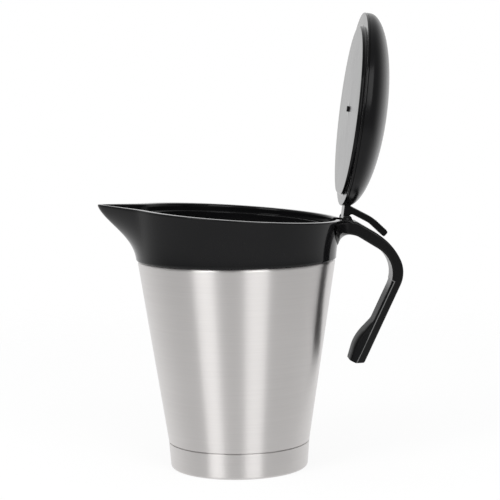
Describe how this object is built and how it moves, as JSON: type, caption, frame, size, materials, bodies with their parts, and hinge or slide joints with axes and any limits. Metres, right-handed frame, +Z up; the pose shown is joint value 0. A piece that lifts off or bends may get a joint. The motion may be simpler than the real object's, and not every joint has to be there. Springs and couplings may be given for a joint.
{
  "type": "insulated sauce jug",
  "caption": "Double-walled steel sauce jug with a black pouring collar and beak, open-ended handle and a hinged domed lid with a thumb lever.",
  "frame": {"origin": "centre of the base cap's underside, on the jug's axis", "axes": "+Z up along the jug's axis, -X towards the spout, +X towards the handle and the hinge, the hinge axis along Y"},
  "size_m": [0.1803, 0.1266, 0.2698],
  "materials": {
    "steel_wall": "brushed round the body",
    "steel_cap": "brushed round the body",
    "steel_inside": "spun satin",
    "pin_steel": "blackened drawn wire",
    "collar_plastic": "moulded gloss black",
    "handle_plastic": "moulded gloss black",
    "lid_plastic": "moulded gloss black",
    "seal": "matt silicone"
  },
  "bodies": {
    "jug": {"outer_shell": "steel_wall", "bottom_disc": "steel_inside", "inner_liner": "steel_inside", "base_cap": "steel_cap", "spout_collar": "collar_plastic", "rim_seal": "seal", "handle_frame": "handle_plastic", "handle_cover": "handle_plastic", "hinge_pin": "pin_steel"},
    "lid": {"lid_dome": "lid_plastic", "lid_panel": "lid_plastic", "thumb_lever": "lid_plastic"}
  },
  "joints": [
    {"name": "lid_hinge", "type": "hinge", "parent": "jug", "child": "lid", "pos_m": [0.0655, 0, 0.14826], "axis": [0, -1, 0], "range_deg": [0, 93.2]}
  ]
}
